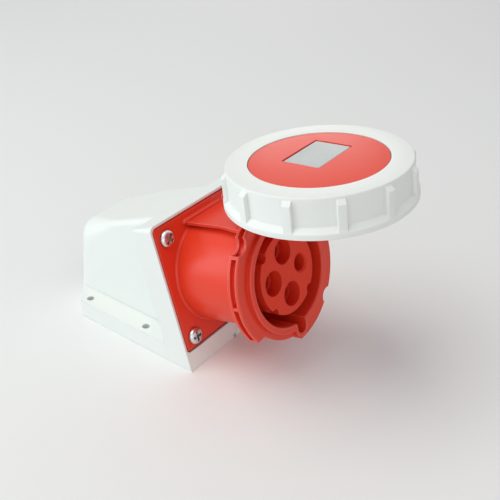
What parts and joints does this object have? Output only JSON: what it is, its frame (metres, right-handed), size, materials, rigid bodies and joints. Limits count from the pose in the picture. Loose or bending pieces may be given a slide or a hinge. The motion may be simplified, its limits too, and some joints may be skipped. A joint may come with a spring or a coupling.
{
  "type": "surface mounted socket",
  "caption": "Surface mounted industrial power socket: white wall box with inclined front, red round socket body with bayonet collar, and a hinged lid with a ribbed white locking ring.",
  "frame": {"origin": "middle of the four wall holes, on the wall face", "axes": "+Z away from the wall, +X towards the mouth of the socket, +Y to the right when looking into the mouth"},
  "size_m": [0.2611, 0.1156, 0.1694],
  "materials": {
    "box_white": "white moulded plastic, slightly satin",
    "socket_red": "red moulded plastic, satin",
    "black_rubber": "black soft rubber",
    "contact_brass": "turned brass",
    "zinc_steel": "bright zinc plated steel",
    "plate_grey": "plain satin plate"
  },
  "bodies": {
    "housing": {"wall_box": "box_white", "flange_gasket": "black_rubber", "socket_body": "socket_red", "flange_screws": "zinc_steel", "contact_insert": "socket_red", "contact_top": "contact_brass", "contact_right": "contact_brass", "contact_left": "contact_brass", "contact_earth": "contact_brass", "contact_springs": "zinc_steel", "terminal_carrier": "socket_red", "carrier_screws": "zinc_steel", "terminal_screws": "zinc_steel", "hinge_pin": "zinc_steel", "cable_grommet": "black_rubber"},
    "lid": {"lid_cap": "socket_red", "lid_seal": "black_rubber", "rating_plate": "plate_grey"},
    "ring": {"bayonet_ring": "box_white"}
  },
  "joints": [
    {"name": "lid_hinge", "type": "hinge", "parent": "housing", "child": "lid", "pos_m": [0.08554, 0, 0.12611], "axis": [0, 1, 0], "range_deg": [-19, 81]},
    {"name": "ring_turn", "type": "hinge", "parent": "lid", "child": "ring", "pos_m": [0.14211, 0, 0.14967], "axis": [-0.1149, 0, 0.9934], "range_deg": [-45, 0]}
  ]
}
